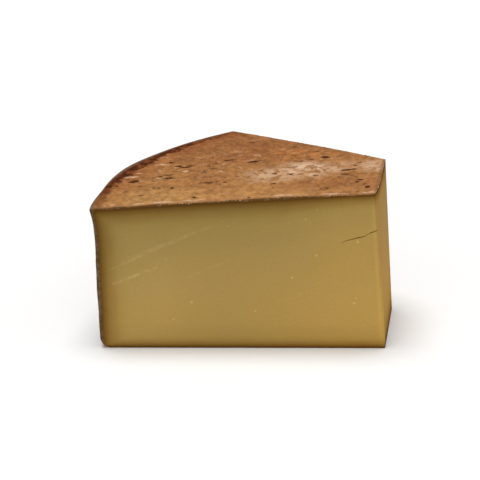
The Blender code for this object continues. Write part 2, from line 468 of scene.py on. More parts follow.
def rind_relief(radius, angle, sizes, look):
    """Height of the top rind's marks over the smooth dome, and their masks."""
    smooth = np.stack((-radius * np.cos(angle), radius * np.sin(angle), dome_height(radius, sizes)), -1)
    warp_one = crust_noise(smooth, 0.0034, (21.0, 4.0, 9.0), 3)
    warp_two = crust_noise(smooth, 0.0034, (2.0, 31.0, 14.0), 3)
    pitted = noise_of(smooth, look.pit_size, (17.0, 8.0, 2.0))
    patchy = noise_of(smooth, 0.055, (5.0, 15.0, 25.0))

    from_front = radius * np.sin(angle)
    pits = smooth_step(0.50, 0.68, pitted + 0.25 * patchy)
    pits *= 0.15 + 0.85 * smooth_step(28.0 * MM, 60.0 * MM, from_front)
    height = -pits * look.pit_depth
    scar = 0.6 * pits
    pale = np.zeros_like(radius)

    for mark_radius, degrees, long, wide, deepest, turned in SCARS.values():
        along, across = local_place(radius, angle, mark_radius, degrees, turned)
        off = np.hypot((along + 1.5 * warp_one) / (0.58 * long), (across + 1.6 * warp_two) / (0.68 * wide))
        height -= smooth_step(1.2, 0.4, off) * 0.55 * deepest * MM
        dark = smooth_step(1.3, 0.85, off) * min(1.0, 0.55 + 0.6 * deepest)
        scar = np.maximum(scar, dark)
    for mark_radius, degrees, long, wide, deepest in RINGS.values():
        along, across = local_place(radius, angle, mark_radius, degrees)
        off = np.hypot((along + 0.5 * warp_one) / (long / 2), (across + 0.5 * warp_two) / (wide / 2))
        ring = smooth_step(0.4, 0.85, off) * smooth_step(1.4, 0.95, off)
        height -= ring * deepest * MM
        # Painted shade: each ring is darker on its side towards the front cut
        scar = np.maximum(scar, (0.75 - 0.25 * np.clip(across / wide, -1.0, 1.0)) * ring)
    # Pale scuffs, with painted highlights on the lit lips just below some dark marks
    for mark_radius, degrees, long, wide in SCUFFS_AND_LIT_LIPS.values():
        along, across = local_place(radius, angle, mark_radius, degrees)
        off = np.hypot((along + 1.4 * warp_one) / (0.55 * long), (across + 1.3 * warp_two) / (0.65 * wide))
        pale = np.maximum(pale, smooth_step(1.3, 0.6, off) * (0.85 + 0.5 * warp_two))

    # The lip of the wheel stays a clean line
    calm = np.clip((sizes.wheel_radius - radius) / LIP_CALM, 0.0, 1.0)
    height *= calm

    # Beside each cut the rind is torn: chipped away here, curled up there
    from_back = radius * np.sin(sizes.angle - angle)
    from_tip = radius - tip_radius(angle, 0.0, sizes)
    nearest = np.minimum(np.minimum(from_front, from_back), from_tip)
    torn = np.exp(-np.clip(nearest, 0.0, None) / look.rag_width)
    ragged = 0.5 * noise_of(smooth, 0.0031, (9.0, 19.0, 29.0)) + noise_of(smooth, 0.0095, (6.0, 1.0, 12.0))
    neat = np.where(nearest == from_front, 1.0, 0.3)
    height += torn * ragged * neat * look.rag_height * calm
    rag = torn * neat * smooth_step(0.0, 0.6, ragged + 0.5 * patchy)
    return height, np.clip(scar, 0.0, 1.0), np.clip(pale, 0.0, 1.0), rag, calm


def heel_relief(height, angle, sizes, look):
    """How far the heel's rind stands out of its smooth form."""
    radius = heel_radius(height, sizes)
    smooth = np.stack((-radius * np.cos(angle), radius * np.sin(angle), height), -1)
    broad = noise_of(smooth, look.broad_size, (0.0, 0.0, 0.0))
    small = noise_of(smooth, look.small_size, (7.0, 3.0, 1.0))
    crust = crust_noise(smooth, look.crust_size * 1.4, (3.0, 11.0, 5.0), 4)
    pits = smooth_step(0.4, 0.65, noise_of(smooth, look.pit_size, (17.0, 8.0, 2.0)))
    calm = np.clip((sizes.rim_height - height) / LIP_CALM, 0.0, 1.0)
    calm = calm * np.clip(height / sizes.foot_rounding, 0.0, 1.0)
    relief = broad * look.broad_height + small * look.small_height
    relief += crust * look.crust_height - 0.7 * pits * look.pit_depth
    return relief * calm, pits


# Modelling steps of the wedge


def select_where(piece, kind, test):
    """In edit mode, select the points, edges or faces that pass a test."""
    bpy.ops.mesh.select_mode(type=kind)
    bpy.ops.mesh.select_all(action="DESELECT")
    edit = bmesh.from_edit_mesh(piece.data)
    items = {"VERT": edit.verts, "EDGE": edit.edges, "FACE": edit.faces}[kind]
    for item in items:
        if test(item):
            item.select_set(True)
    edit.select_flush_mode()
    bmesh.update_edit_mesh(piece.data)


def wheel_section(sizes):
    """An upright sheet with the outline of the wheel's section, in the front cut's plane."""
    axis = axis_place()
    width = sizes.wheel_radius - START_RADIUS
    left = axis.x - sizes.wheel_radius
    deselect_all()
    bpy.ops.mesh.primitive_plane_add(
        size=1.0,
        rotation=(math.radians(90.0), 0.0, 0.0),
        location=(left + width / 2, axis.y, sizes.rim_height / 2),
    )
    sheet = bpy.context.object
    sheet.scale = (width, sizes.rim_height, 1.0)
    bpy.ops.object.transform_apply(location=True, rotation=True, scale=True)

    # Round the foot and the lip, then cut the heel's edge and the top edge into rows
    bpy.ops.object.mode_set(mode="EDIT")
    for height, rounding, rows in ((0.0, sizes.foot_rounding, FOOT_ROWS),
                                   (sizes.rim_height, sizes.lip_rounding, LIP_ROWS)):
        select_where(sheet, "VERT", lambda point: point.co.x < left + MM and abs(point.co.z - height) < MM)
        bpy.ops.mesh.bevel(affect="VERTICES", offset=rounding, segments=rows)
    select_where(sheet, "EDGE", lambda edge: all(point.co.x < left + 0.01 * MM for point in edge.verts))
    bpy.ops.mesh.subdivide(number_cuts=ROWS_UP_HEEL - 1)
    for rows in ROWS_ACROSS_TOP:
        top = sizes.rim_height - 0.01 * MM
        select_where(sheet, "EDGE", lambda edge: all(point.co.z > top for point in edge.verts))
        bpy.ops.mesh.subdivide(number_cuts=rows - 1)

    # Lean and flare the heel, and dome the top
    edit = bmesh.from_edit_mesh(sheet.data)
    for point in edit.verts:
        height = point.co.z
        radius = axis.x - point.co.x + heel_radius(height, sizes) - sizes.wheel_radius
        point.co.x = axis.x - radius
        if height > sizes.rim_height - 1.01 * sizes.lip_rounding:
            point.co.z += dome_height(radius, sizes) - sizes.rim_height
    bmesh.update_edit_mesh(sheet.data)
    bpy.ops.object.mode_set(mode="OBJECT")
    return sheet


def plane_through(points):
    """Middle and outward normal of the plane nearest to four corners, given in turn."""
    middle = sum(points, Vector()) / 4
    normal = (points[2] - points[0]).cross(points[3] - points[1]).normalized()
    return middle, normal


def slice_off(place, normal):
    """In edit mode, cut away what lies beyond a plane, and close the cut."""
    bpy.ops.mesh.select_all(action="SELECT")
    bpy.ops.mesh.bisect(plane_co=place, plane_no=normal, use_fill=True, clear_outer=True)


def wear_corner(first_place, first_normal, second_place, second_normal, rounding):
    """Round the upright corner between two cuts with a few thin slices."""
    edge = first_normal.cross(second_normal).normalized()
    # The line that lies one rounding inside both cuts
    first_reach = first_normal.dot(first_place) - rounding
    second_reach = second_normal.dot(second_place) - rounding
    share = first_normal.dot(second_normal)
    first_part = (first_reach - share * second_reach) / (1.0 - share * share)
    second_part = (second_reach - share * first_reach) / (1.0 - share * share)
    centre = first_normal * first_part + second_normal * second_part
    centre += edge * edge.dot(first_place)
    for step in range(1, CORNER_CUTS + 1):
        normal = first_normal.slerp(second_normal, step / (CORNER_CUTS + 1))
        slice_off(centre + normal * rounding, normal)


def drop_doubled_faces(piece):
    """A slice that meets a thin strip fills it once more, so the second filling goes."""
    seen = set()

    def doubled(face):
        around = frozenset(face.verts)
        again = around in seen
        seen.add(around)
        return again

    select_where(piece, "FACE", doubled)
    bpy.ops.mesh.delete(type="ONLY_FACE")


def cut_wedge(piece, sizes):
    """Spin the section about the axis, then cut off the tip and wear its corners."""
    axis = axis_place()
    pick(piece)
    bpy.ops.object.mode_set(mode="EDIT")
    bpy.ops.mesh.select_mode(type="FACE")
    bpy.ops.mesh.select_all(action="SELECT")
    # With no window, spin turns the other way round
    bpy.ops.mesh.spin(steps=ROWS_ROUND, angle=sizes.angle, center=axis, axis=(0.0, 0.0, 1.0))
    bpy.ops.mesh.select_all(action="SELECT")
    bpy.ops.mesh.normals_make_consistent(inside=False)

    corners_of_tip = []
    for angle, sunk in ((0.0, 1.0), (sizes.angle, 1.0), (sizes.angle, 0.0), (0.0, 0.0)):
        radius = float(tip_radius(angle, sunk, sizes))
        height = dome_height(radius, sizes) if sunk == 0.0 else 0.0
        corners_of_tip.append(axis + Vector((-radius * math.cos(angle), radius * math.sin(angle), height)))
    tip_place, tip_normal = plane_through(corners_of_tip)
    slice_off(tip_place, tip_normal)
    front_normal = Vector((0.0, -1.0, 0.0))
    back_normal = Vector((math.sin(sizes.angle), math.cos(sizes.angle), 0.0))
    rounding = sizes.corner_rounding
    wear_corner(axis, front_normal, tip_place, tip_normal, rounding)
    wear_corner(axis, back_normal, tip_place, tip_normal, rounding)
    drop_doubled_faces(piece)

    # Rows and columns in the tip cut, so that its worn corner can be curved
    lines = [((0.0, 0.0, height * MM), (0.0, 0.0, 1.0)) for height in TIP_ROWS]
    lines += [((0.0, axis.y + away * MM, 0.0), (0.0, 1.0, 0.0)) for away in TIP_COLUMNS]
    for place, normal in lines:
        select_where(piece, "FACE", lambda face: face.normal.dot(tip_normal) > 0.999)
        bpy.ops.mesh.bisect(plane_co=place, plane_no=normal)

    select_where(piece, "FACE", lambda face: face.normal.z < -0.9)
    bpy.ops.mesh.dissolve_faces()
    bpy.ops.object.mode_set(mode="OBJECT")

    # The front corner is rubbed away towards the top
    points = points_of(piece)
    x = points[:, 0] - axis.x
    y = points[:, 1] - axis.y
    height = points[:, 2]
    behind_tip = -(points - np.array(tip_place)) @ np.array(tip_normal)
    worn = smooth_step(*WEAR_HEIGHTS, height) ** 1.5 * np.exp(-np.clip(y, 0.0, None) / WEAR_ALONG_TIP)
    worn *= np.exp(-np.clip(behind_tip, 0.0, None) / WEAR_ALONG_FRONT)
    points[:, 0] -= sizes.corner_wear * worn
    on_dome = np.abs(height - dome_height(np.hypot(x, y), sizes)) < ON_DOME
    off_front = smooth_step(0.02 * MM, 0.4 * MM, y) * np.exp(-np.clip(y, 0.0, None) / (4.0 * MM))
    points[:, 1] += 0.35 * sizes.corner_wear * worn * off_front
    radius = np.hypot(points[:, 0] - axis.x, points[:, 1] - axis.y)
    points[on_dome, 2] = dome_height(radius[on_dome], sizes)
    set_points(piece, points)


def paint_group(piece, name, weights):
    group = piece.vertex_groups.new(name=name)
    for index in np.flatnonzero(weights > 0.001):
        group.add([int(index)], float(min(weights[index], 1.0)), "REPLACE")


def raise_bumps(piece, name, group, size, height, depth):
    """Push a painted part of the surface up and down by a cloud texture."""
    texture = bpy.data.textures.new(name, "CLOUDS")
    texture.noise_basis = "ORIGINAL_PERLIN"
    texture.noise_scale = size
    texture.noise_depth = depth
    bumps = piece.modifiers.new(name, "DISPLACE")
    bumps.texture = texture
    bumps.texture_coords = "LOCAL"
    bumps.direction = "Z"
    bumps.mid_level = 0.5
    bumps.strength = 2.0 * height
    bumps.vertex_group = group
    pick(piece)
    bpy.ops.object.modifier_apply(modifier=bumps.name)


def weather_rind(piece, sizes, look):
    """Give the top and the heel their bumps, scars, pits and torn edges."""
    axis = axis_place()
    points = points_of(piece)
    x = points[:, 0] - axis.x
    y = points[:, 1] - axis.y
    height = points[:, 2]
    radius = np.hypot(x, y)
    angle = np.arctan2(y, -x)
    on_top = np.abs(height - dome_height(radius, sizes)) < ON_DOME
    on_heel = (np.abs(radius - heel_radius(height, sizes)) < ON_HEEL) & ~on_top
    on_heel &= (height > 0.5 * sizes.foot_rounding)

    relief = np.zeros(len(points))
    scar = np.zeros(len(points))
    pale = np.zeros(len(points))
    rag = np.zeros(len(points))
    found = rind_relief(radius[on_top], angle[on_top], sizes, look)
    relief[on_top], scar[on_top], pale[on_top], rag[on_top], calm = found
    points[:, 2] += relief
    bulge, heel_pits = heel_relief(height[on_heel], angle[on_heel], sizes, look)
    scar[on_heel] = heel_pits
    stretch = 1.0 + bulge / radius[on_heel]
    points[on_heel, 0] = axis.x + x[on_heel] * stretch
    points[on_heel, 1] = axis.y + y[on_heel] * stretch

    # The wheel is a little flattened beside the front cut, and a little fuller past that
    degrees = np.degrees(angle)
    dent = sizes.flat_dent * np.exp(-((degrees - FLAT_AT[0]) / FLAT_AT[1]) ** 2)
    dent -= sizes.full_bulge * np.exp(-((degrees - FULL_AT[0]) / FULL_AT[1]) ** 2)
    near_rim = smooth_step(sizes.wheel_radius - 30.0 * MM, sizes.wheel_radius - 8.0 * MM, radius)
    shrink = -dent * near_rim * (radius > sizes.foot_radius - 30.0 * MM) / np.maximum(radius, MM)
    points[:, 0] += x * shrink
    points[:, 1] += y * shrink
    set_points(piece, points)

    # The bumps fade out towards the lip and the back cut
    weights = np.zeros(len(points))
    from_back = radius * np.sin(sizes.angle - angle)
    weights[on_top] = calm * (0.25 + 0.75 * smooth_step(0.0, 30.0 * MM, from_back[on_top]))
    paint_group(piece, "top_rind", weights)
    raise_bumps(piece, "broad_bumps", "top_rind", look.broad_size, look.broad_height, 0)
    raise_bumps(piece, "small_bumps", "top_rind", look.small_size, look.small_height, 1)
    raise_bumps(piece, "crust", "top_rind", look.crust_size, look.crust_height, 3)
    piece.vertex_groups.clear()

    for name, values in (("scar", scar), ("pale", pale), ("rag", rag), ("top", on_top.astype(float))):
        add_attribute(piece, name, values)


def crack_stations():
    """Points along the crack, closer together than its measured ones and less even."""
    draw = random.Random(8)
    stations = []
    for first, second in zip(CRACK, CRACK[1:]):
        steps = max(2, round(abs(first[0] - second[0]) / CRACK_STEP))
        for step in range(steps):
            share = step / steps
            radius, height, width, depth = (
                one + (other - one) * share for one, other in zip(first, second)
            )
            height += draw.uniform(-CRACK_STRAY, CRACK_STRAY)
            width *= draw.uniform(*CRACK_WIDTHS)
            stations.append((radius * MM, height * MM, width * MM, depth * MM))
    stations.append(tuple(value * MM for value in CRACK[-1]))
    return stations


def cut_crack(wedge):
    """Open the crack with a thin blade that is extruded along it."""
    axis = axis_place()
    deselect_all()
    bpy.ops.mesh.primitive_circle_add(vertices=3, radius=MM, fill_type="NGON")
    blade = bpy.context.object
    blade.name = "crack_blade"
    bpy.ops.object.mode_set(mode="EDIT")
    bpy.ops.mesh.select_mode(type="VERT")
    for index, (radius, height, width, depth) in enumerate(crack_stations()):
        bpy.ops.mesh.select_all(action="DESELECT")
        edit = bmesh.from_edit_mesh(blade.data)
        edit.verts.ensure_lookup_table()
        for vertex in edit.verts[-3:]:
            vertex.select_set(True)
        edit.select_flush(True)
        bmesh.update_edit_mesh(blade.data)
        if index:
            bpy.ops.mesh.extrude_region_move(TRANSFORM_OT_translate={"value": (0.0, 0.0, 0.0)})
            edit = bmesh.from_edit_mesh(blade.data)
            edit.verts.ensure_lookup_table()
        spread = width / 2 * (1.0 + CRACK_REACH / depth)
        corners_of_blade = ((-CRACK_REACH, spread), (-CRACK_REACH, -spread), (depth, 0.0))
        for vertex, (inward, upward) in zip(edit.verts[-3:], corners_of_blade):
            vertex.co = Vector((axis.x - radius, axis.y + inward, height + upward))
        bmesh.update_edit_mesh(blade.data)
    bpy.ops.mesh.select_all(action="SELECT")
    bpy.ops.mesh.normals_make_consistent(inside=False)
    bpy.ops.object.mode_set(mode="OBJECT")

    pick(wedge)
    cut = wedge.modifiers.new("crack", "BOOLEAN")
    cut.operation = "DIFFERENCE"
    cut.solver = "EXACT"
    cut.object = blade
    bpy.ops.object.modifier_apply(modifier=cut.name)
    bpy.data.objects.remove(blade, do_unlink=True)


def share_out_materials(wedge, sizes):
    """Slot 0 is paste, for the three cuts. Slot 1 is rind, for the top, heel and bottom."""
    axis = axis_place()
    count = len(wedge.data.polygons)
    normals = np.empty(count * 3, np.float32)
    centres = np.empty(count * 3, np.float32)
    wedge.data.polygons.foreach_get("normal", normals)
    wedge.data.polygons.foreach_get("center", centres)
    normals = normals.reshape(count, 3)
    centres = centres.reshape(count, 3)
    x = centres[:, 0] - axis.x
    y = centres[:, 1] - axis.y
    radius = np.hypot(x, y)
    outward = (normals[:, 0] * x + normals[:, 1] * y) / radius
    on_heel = (radius > heel_radius(centres[:, 2], sizes) - HEEL_REACH) & (outward > 0.2)
    depth = dome_height(radius, sizes) - centres[:, 2]
    on_top = (normals[:, 2] > 0.35) & (depth < TOP_REACH)
    on_bottom = (normals[:, 2] < -0.5) & (centres[:, 2] < BOTTOM_REACH)
    is_rind = on_heel | on_top | on_bottom
    wedge.data.polygons.foreach_set("material_index", is_rind.astype(np.int32))
    wedge.data.update()


def make_crumbs(wedge, sizes, look):
    """Small pale crumbs of rind that cling along the torn top edges of the cuts."""
    axis = axis_place()
    draw = random.Random(21)
    points = points_of(wedge)
    x = points[:, 0] - axis.x
    y = points[:, 1] - axis.y
    radius = np.hypot(x, y)
    angle = np.arctan2(y, -x)
    near_top = points[:, 2] > dome_height(radius, sizes) - 2.0 * MM
    front = near_top & (y < 0.02 * MM) & (radius < CRUMB_LIMIT)
    back = near_top & (angle > sizes.angle - 0.0001) & (radius < CRUMB_LIMIT)
    tip = near_top & (radius < tip_radius(angle, 0.0, sizes) + 0.3 * MM) & ~front & ~back
    places = []
    for chosen, count, torn in (
        (front, look.crumbs, ((214.0, 234.0), (135.0, 177.0), (252.0, 262.0))),
        (back, look.crumbs // 2, ((150.0, 320.0),)),
        (tip, look.crumbs // 4, ((110.0, 150.0),)),
    ):
        options = np.flatnonzero(chosen)
        crumbly = np.zeros(len(options), bool)
        for low, high in torn:
            crumbly |= (radius[options] > low * MM) & (radius[options] < high * MM)
        for step in range(count):
            pool = options[crumbly] if draw.random() < 0.7 else options
            places.append(Vector(points[pool[draw.randrange(len(pool))]]))

    deselect_all()
    bpy.ops.mesh.primitive_ico_sphere_add(subdivisions=2, radius=0.5, location=(0.0, 0.0, 0.0))
    first = bpy.context.object
    crumbs = [first]
    for step in range(len(places) - 1):
        copy = bpy.data.objects.new("crumb", first.data.copy())
        bpy.context.collection.objects.link(copy)
        crumbs.append(copy)
    for crumb, place in zip(crumbs, places):
        size = draw.uniform(0.4, 1.1) * MM
        shift = Vector([draw.uniform(*span) for span in ((0.0, 40.0),) * 3])
        for vertex in crumb.data.vertices:
            vertex.co = vertex.co * (1.0 + 0.55 * noise.noise(vertex.co * 2.6 + shift))
        crumb.scale = [size * draw.uniform(*span) for span in ((0.8, 1.5), (0.7, 1.1), (0.35, 0.7))]
        crumb.rotation_euler = [draw.uniform(*span) for span in ((-0.6, 0.6), (-0.5, 0.5), (0.0, 6.28))]
        inward = (axis - place).xy.normalized() * draw.uniform(-0.3, 0.3) * MM
        crumb.location = place + Vector((inward.x, inward.y, draw.uniform(-0.35, 0.12) * MM))
    deselect_all()
    for crumb in crumbs:
        crumb.select_set(True)
    bpy.context.view_layer.objects.active = first
    bpy.ops.object.transform_apply(location=True, rotation=True, scale=True)
    bpy.ops.object.join()
    bpy.ops.object.shade_smooth_by_angle(angle=math.radians(50.0))
    first.name = "rind_crumbs"
    return first


# Materials


class Recipe:
    """Adds the nodes of one material, a step at a time."""

    def __init__(self, name):
        self.material = bpy.data.materials.new(name)
        self.material.use_nodes = True
        self.tree = self.material.node_tree
        self.shader = self.tree.nodes["Principled BSDF"]
        self.place = self.tree.nodes.new("ShaderNodeTexCoord").outputs["Object"]

    def feed(self, socket, value):
        if isinstance(value, bpy.types.NodeSocket):
            self.tree.links.new(value, socket)
        elif isinstance(value, (tuple, list)) and len(value) == 3 and socket.type == "RGBA":
            socket.default_value = (*value, 1.0)
        else:
            socket.default_value = value

    def math(self, operation, first, second=0.0, third=0.0, clamp=False):
        node = self.tree.nodes.new("ShaderNodeMath")
        node.operation = operation
        node.use_clamp = clamp
        for socket, value in zip(node.inputs, (first, second, third)):
            self.feed(socket, value)
        return node.outputs[0]

    def plus(self, first, second, clamp=False):
        return self.math("ADD", first, second, clamp=clamp)

    def minus(self, first, second):
        return self.math("SUBTRACT", first, second)

    def times(self, first, second):
        return self.math("MULTIPLY", first, second)

    def times_plus(self, first, second, third):
        return self.math("MULTIPLY_ADD", first, second, third)

    def over(self, first, second):
        return self.math("DIVIDE", first, second)

    def distance(self, first, second):
        """Length of the slope whose two upright sides are given."""
        return self.math("SQRT", self.plus(self.times(first, first), self.times(second, second)))

    def off_oval(self, first, first_middle, first_half, second, second_middle, second_half):
        """0 in the middle of an oval and 1 on its outline, whose sizes are in millimetres."""
        first_off = self.over(self.minus(first, first_middle * MM), first_half * MM)
        second_off = self.over(self.minus(second, second_middle * MM), second_half * MM)
        return self.distance(first_off, second_off)

    def away_from(self, value, middle):
        return self.math("ABSOLUTE", self.minus(value, middle))

    def split(self, vector):
        node = self.tree.nodes.new("ShaderNodeSeparateXYZ")
        self.feed(node.inputs[0], vector)
        return node.outputs

    def moved(self, shift, scale=(1.0, 1.0, 1.0)):
        node = self.tree.nodes.new("ShaderNodeMapping")
        self.feed(node.inputs["Vector"], self.place)
        node.inputs["Location"].default_value = shift
        node.inputs["Scale"].default_value = scale
        return node.outputs[0]

    def noise(self, size, detail=2.0, roughness=0.5, shift=(0.0, 0.0, 0.0), scale=(1.0, 1.0, 1.0)):
        node = self.tree.nodes.new("ShaderNodeTexNoise")
        self.feed(node.inputs["Vector"], self.moved(shift, scale))
        node.inputs["Scale"].default_value = 1.0 / size
        node.inputs["Detail"].default_value = detail
        node.inputs["Roughness"].default_value = roughness
        return node.outputs["Fac"]

    def long_noise(self, size, detail, roughness, shift):
        """Noise that is longer away from the first cut than along it."""
        return self.noise(size, detail, roughness, shift, (1.0, 0.55, 1.0))

    def cells(self, size):
        node = self.tree.nodes.new("ShaderNodeTexVoronoi")
        self.feed(node.inputs["Vector"], self.place)
        node.inputs["Scale"].default_value = 1.0 / size
        return node.outputs

    def range(self, value, low, high, to_low=0.0, to_high=1.0):
        """Eased from one value at low to another at high; high may be the smaller."""
        node = self.tree.nodes.new("ShaderNodeMapRange")
        node.interpolation_type = "SMOOTHSTEP"
        numbers = {"From Min": low, "From Max": high, "To Min": to_low, "To Max": to_high}
        for name, number in numbers.items():
            node.inputs[name].default_value = number
        self.feed(node.inputs["Value"], value)
        return node.outputs[0]

    def tint(self, amount, colour, factor):
        return self.blend(amount, colour, factor, "MULTIPLY")

    def blend(self, amount, first, second, kind="MIX"):
        node = self.tree.nodes.new("ShaderNodeMix")
        node.data_type = "RGBA"
        node.blend_type = kind
        self.feed(node.inputs[0], amount)
        self.feed(node.inputs[6], first)
        self.feed(node.inputs[7], second)
        return node.outputs[2]

    def ramp(self, value, stops):
        node = self.tree.nodes.new("ShaderNodeValToRGB")
        band = node.color_ramp
        while len(band.elements) < len(stops):
            band.elements.new(1.0)
        for element, (place, colour) in zip(band.elements, stops):
            element.position = place
            element.color = (*colour, 1.0)
        self.feed(node.inputs[0], value)
        return node.outputs[0]

    def grey(self, value):
        node = self.tree.nodes.new("ShaderNodeCombineColor")
        for socket in node.inputs:
            self.feed(socket, value)
        return node.outputs[0]

    def attribute(self, name):
        node = self.tree.nodes.new("ShaderNodeAttribute")
        node.attribute_name = name
        return node.outputs["Fac"]

    def bump(self, height, distance, strength, under=None):
        node = self.tree.nodes.new("ShaderNodeBump")
        node.inputs["Strength"].default_value = strength
        node.inputs["Distance"].default_value = distance
        self.feed(node.inputs["Height"], height)
        if under is not None:
            self.feed(node.inputs["Normal"], under)
        return node.outputs[0]

    def finish(self, colour, roughness, specular, normal=None):
        """Feed the shader, and hand the material over."""
        self.feed(self.shader.inputs["Base Color"], colour)
        self.feed(self.shader.inputs["Roughness"], roughness)
        self.shader.inputs["Specular IOR Level"].default_value = specular
        if normal is not None:
            self.feed(self.shader.inputs["Normal"], normal)
        return self.material


def wheel_depths(recipe, sizes):
    """A point's place seen from the wheel's axis, and how deep it is under the top and the heel."""
    axis = axis_place()
    x, y, z = recipe.split(recipe.moved((-axis.x, -axis.y, 0.0)))
    radius = recipe.distance(x, y)
    share = recipe.over(radius, sizes.wheel_radius)
    square = recipe.times(share, share)
    cone = recipe.times(share, sizes.cone_share)
    fall = recipe.times_plus(square, 1.0 - sizes.cone_share, cone)
    rise = sizes.centre_height - sizes.rim_height
    dome = recipe.times_plus(fall, -rise, sizes.centre_height)
    under_top = recipe.minus(dome, z)
    flare = sizes.wheel_radius - sizes.foot_radius - sizes.heel_lean * sizes.rim_height
    power = recipe.over(recipe.minus(z, sizes.rim_height), sizes.flare_height)
    flaring = recipe.times(recipe.math("EXPONENT", power), flare)
    leaning = recipe.times_plus(z, sizes.heel_lean, sizes.foot_radius)
    under_heel = recipe.minus(recipe.plus(flaring, leaning), radius)
    return {"x": x, "y": y, "z": z, "radius": radius, "top": under_top, "heel": under_heel}


def paste_material(sizes, look):
    """Smooth cut paste: yellow inside, browner towards the rind, with a few pale specks."""
    recipe = Recipe("cut paste")
    where = wheel_depths(recipe, sizes)

    # How far a point is inside the back cut and the tip cut, and how deep under the nearest
    # rind. The browning reaches least far in from the bottom, and is thinner near the tip.
    wander = recipe.times_plus(recipe.noise(0.012, 2.0), 3.0 * MM, -1.5 * MM)
    from_back = recipe.times(where["y"], -math.cos(sizes.angle))
    from_back = recipe.times_plus(where["x"], -math.sin(sizes.angle), from_back)
    leaning = recipe.times_plus(
        where["z"], -sizes.front_lean / TIP_HEIGHT, sizes.front_lean - sizes.front_tip
    )
    from_tip = recipe.minus(recipe.times_plus(where["y"], TIP_SLANT, leaning), where["x"])
    off_back = recipe.range(from_back, 0.5 * MM, 2.5 * MM)
    on_tip = recipe.times(recipe.range(where["y"], 1.5 * MM, 5.0 * MM), off_back)
    from_heel = recipe.times(where["heel"], 0.92)
    from_bottom = recipe.times(where["z"], recipe.range(on_tip, 0.0, 1.0, 2.35, 1.1))
    deeper = recipe.range(where["radius"], 190.0 * MM, 118.0 * MM, 1.0, 1.6)
    from_top = recipe.times(where["top"], deeper)
    nearest = recipe.math("SMOOTH_MIN", from_top, from_heel, 6.0 * MM)
    nearest = recipe.math("SMOOTH_MIN", nearest, from_bottom, 4.0 * MM)
    depth = recipe.plus(nearest, recipe.times(wander, recipe.range(nearest, 0.0, 12.0 * MM)))
    browning = recipe.ramp(recipe.over(depth, BROWNING_REACH), (
        (0.00, (0.22, 0.14, 0.085)),
        (0.04, (0.27, 0.17, 0.09)),
        (0.09, (0.45, 0.35, 0.225)),
        (0.17, (0.64, 0.575, 0.455)),
        (0.34, (0.86, 0.86, 0.79)),
        (0.48, (0.93, 0.94, 0.90)),
        (0.75, (0.96, 0.96, 0.96)),
        (1.00, (1.00, 1.00, 1.00)),
    ))
    colour = recipe.tint(1.0, tuple(look.deep), browning)

    # Painted light: brighter and warmer towards the wheel's middle and towards its bottom. Lighter by the
    # heel, but with painted shade at its top
    painted_light_to_tip = recipe.range(where["radius"], 230.0 * MM, 112.0 * MM)
    colour = recipe.tint(painted_light_to_tip, colour, (1.18, 1.11, 1.00))
    # Painted light from below: the paste is brighter towards the bottom
    painted_light_low = recipe.range(where["z"], 100.0 * MM, 20.0 * MM)
    colour = recipe.tint(painted_light_low, colour, (1.20, 1.14, 1.03))
    outer = recipe.range(where["radius"], 235.0 * MM, 300.0 * MM)
    colour = recipe.tint(outer, colour, (1.10, 1.10, 1.13))
    # Painted shade: darker at the top beside the heel, under the rind's lip
    painted_shade_by_lip = recipe.times(outer, recipe.range(where["z"], 50.0 * MM, 90.0 * MM))
    colour = recipe.tint(painted_shade_by_lip, colour, (0.94, 0.91, 0.86))

    # A painted highlight along the worn, rounded corner of the tip cut, which is paler
    corner = recipe.range(from_tip, 6.0 * MM, 3.0 * MM)
    corner = recipe.times(corner, recipe.range(where["y"], 2.6 * MM, 1.2 * MM))
    colour = recipe.tint(corner, colour, (1.10, 1.09, 1.05))

    # The tip cut is a little rosier
    rosy = recipe.range(recipe.noise(0.03, 2.0, 0.5, (0.3, 0.6, 0.9)), 0.35, 0.65)
    rosier = recipe.blend(rosy, (1.04, 0.99, 1.02), (1.12, 0.98, 1.12))
    colour = recipe.tint(on_tip, colour, rosier)

    # Clouds of slightly more orange paste, and its grain
    clouds = recipe.range(recipe.noise(0.055, 2.0, 0.5, (0.3, 0.1, 0.2)), 0.3, 0.7)
    colour = recipe.tint(clouds, colour, (1.04, 1.01, 0.96))
    grain = recipe.range(recipe.noise(0.0016, 3.0, 0.6), 0.3, 0.7, 0.965, 1.035)
    colour = recipe.tint(1.0, colour, recipe.grey(grain))

    # Pale specks: small spheres in the paste that the knife cut through
    wobble = recipe.noise(0.0022, 2.0, 0.6, (0.4, 0.5, 0.6))
    cells = recipe.cells(look.speck_spacing)
    speck = recipe.range(recipe.times_plus(wobble, 0.16, cells["Distance"]), 0.200, 0.155)
    some = recipe.range(recipe.split(cells["Color"])[0], 0.40, 0.75, 0.12, 1.0)
    speck = recipe.times(speck, recipe.times(some, recipe.range(nearest, 2.0 * MM, 7.0 * MM)))
    pale = recipe.tint(1.0, colour, (1.36, 1.38, 1.55))
    colour = recipe.blend(recipe.times(speck, 0.8), colour, pale)

    # Pale, broken knife lines on the front cut
    on_front = recipe.range(where["y"], 1.5 * MM, 0.6 * MM)
    broken = recipe.range(recipe.noise(0.0046, 3.0, 0.6, (0.0, 0.7, 0.0)), 0.42, 0.60, 0.15, 1.0)
    lines = None
    for start_radius, start_height, end_radius, end_height, bow, strength in KNIFE_LINES:
        run = (start_radius - end_radius) * MM
        along = recipe.over(recipe.plus(where["x"], start_radius * MM), run)
        rise = recipe.times_plus(along, (end_height - start_height) * MM, start_height * MM)
        bulge = recipe.times(along, recipe.minus(1.0, along))
        line_height = recipe.times_plus(bulge, 4.0 * bow * MM, rise)
        off = recipe.away_from(where["z"], line_height)
        line = recipe.range(off, 1.6 * MM, 0.3 * MM, 0.0, strength)
        line = recipe.times(line, recipe.range(along, -0.04, 0.06))
        line = recipe.times(line, recipe.range(along, 1.03, 0.85))
        lines = line if lines is None else recipe.math("MAXIMUM", lines, line)
    lines = recipe.times(lines, recipe.times(broken, on_front))
    colour = recipe.blend(lines, colour, pale)

